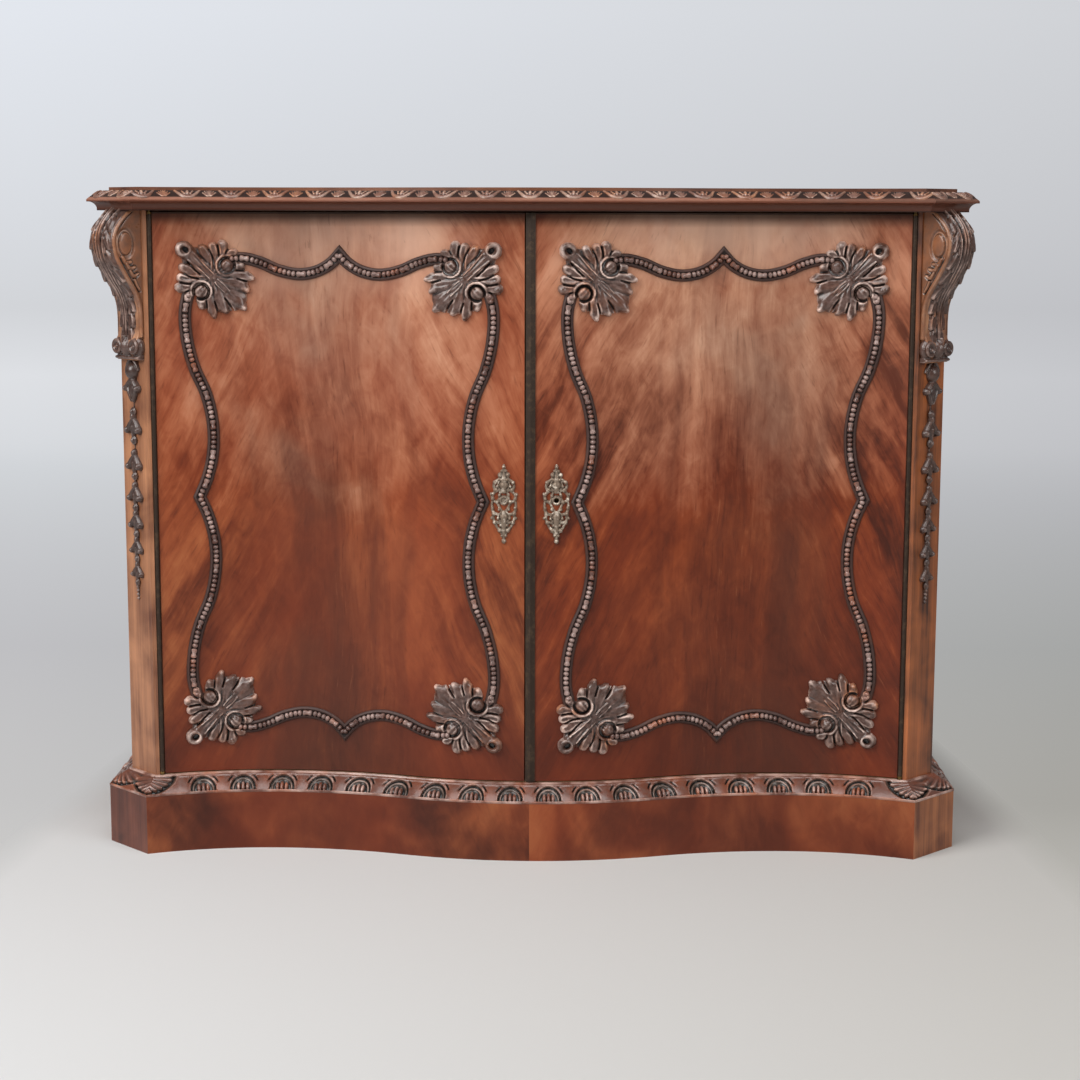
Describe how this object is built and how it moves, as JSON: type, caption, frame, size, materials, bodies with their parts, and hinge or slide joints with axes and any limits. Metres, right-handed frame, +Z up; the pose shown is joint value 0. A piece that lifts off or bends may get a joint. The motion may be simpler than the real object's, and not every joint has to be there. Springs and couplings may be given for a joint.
{
  "type": "low cabinet",
  "caption": "Low wooden side cabinet with a serpentine front, canted corners with carved consoles, and two hinged doors with carved cartouche mouldings over a plinth.",
  "frame": {"origin": "on the floor under the middle of the whole cabinet's box", "axes": "+X to the right seen from the front, +Y to the back, +Z up; the doors open towards -Y"},
  "size_m": [1.22, 0.4599, 0.925],
  "materials": {
    "flame_veneer": "french polished flame figured mahogany veneer",
    "polished_mahogany": "polished straight grained mahogany",
    "carved_mahogany": "dark carved mahogany with rubbed high points",
    "door_backing": "plain mahogany, thinly polished",
    "carcass_pine": "unfinished aged pine",
    "bronze_strip": "dark bronzed brass",
    "aged_brass": "tarnished cast brass",
    "fitting_brass": "worn brass",
    "screw_steel": "dull steel"
  },
  "bodies": {
    "carcass": {"plinth_front_left": "flame_veneer", "plinth_front_right": "flame_veneer", "plinth_corner_left": "polished_mahogany", "plinth_corner_right": "polished_mahogany", "plinth_side_left": "polished_mahogany", "plinth_side_right": "polished_mahogany", "plinth_back": "carcass_pine", "plinth_glue_blocks": "carcass_pine", "base_moulding_front": "carved_mahogany", "base_moulding_left": "carved_mahogany", "base_moulding_right": "carved_mahogany", "bottom_board": "carcass_pine", "top_board": "polished_mahogany", "top_moulding_front": "carved_mahogany", "top_moulding_left": "carved_mahogany", "top_moulding_right": "carved_mahogany", "carcass_top": "carcass_pine", "corner_post_left": "polished_mahogany", "corner_post_right": "polished_mahogany", "side_panel_left": "polished_mahogany", "side_panel_right": "polished_mahogany", "post_bead_left": "bronze_strip", "post_bead_right": "bronze_strip", "shelf": "carcass_pine", "shelf_bearers": "carcass_pine", "top_front_rail": "carcass_pine", "back_stiles": "carcass_pine", "back_rails": "carcass_pine", "back_panels": "carcass_pine", "console_left": "carved_mahogany", "console_right": "carved_mahogany", "husk_drop_left": "carved_mahogany", "husk_drop_right": "carved_mahogany", "carcass_hinge_plates": "fitting_brass", "carcass_hinge_screws": "screw_steel", "bolt_keepers": "fitting_brass"},
    "left_door": {"left_door_core": "door_backing", "left_door_veneer": "flame_veneer", "left_door_rail_mouldings": "carved_mahogany", "left_door_side_mouldings": "carved_mahogany", "left_door_leaves": "carved_mahogany", "left_escutcheon": "aged_brass", "left_door_hinge_plates": "fitting_brass", "left_door_screws": "screw_steel", "bolt_cases": "fitting_brass", "strike_plate": "fitting_brass"},
    "right_door": {"right_door_core": "door_backing", "right_door_veneer": "flame_veneer", "right_door_rail_mouldings": "carved_mahogany", "right_door_side_mouldings": "carved_mahogany", "right_door_leaves": "carved_mahogany", "right_escutcheon": "aged_brass", "right_door_hinge_plates": "fitting_brass", "right_door_screws": "screw_steel", "lock_case": "fitting_brass", "meeting_strip": "bronze_strip"},
    "lock_bolt": {"lock_bolt": "fitting_brass"},
    "top_bolt": {"top_bolt": "fitting_brass"},
    "bottom_bolt": {"bottom_bolt": "fitting_brass"}
  },
  "joints": [
    {"name": "left_door_hinge", "type": "hinge", "parent": "carcass", "child": "left_door", "pos_m": [-0.52, -0.16245, 0.5], "axis": [0, 0, -1], "range_deg": [0, 110]},
    {"name": "right_door_hinge", "type": "hinge", "parent": "carcass", "child": "right_door", "pos_m": [0.52, -0.16245, 0.5], "axis": [0, 0, 1], "range_deg": [0, 110]},
    {"name": "lock_bolt_slide", "type": "slide", "parent": "right_door", "child": "lock_bolt", "axis": [-1, 0, 0], "range_m": [0, 0.01]},
    {"name": "top_bolt_slide", "type": "slide", "parent": "left_door", "child": "top_bolt", "axis": [0, 0, 1], "range_m": [0, 0.012]},
    {"name": "bottom_bolt_slide", "type": "slide", "parent": "left_door", "child": "bottom_bolt", "axis": [0, 0, -1], "range_m": [0, 0.012]}
  ]
}
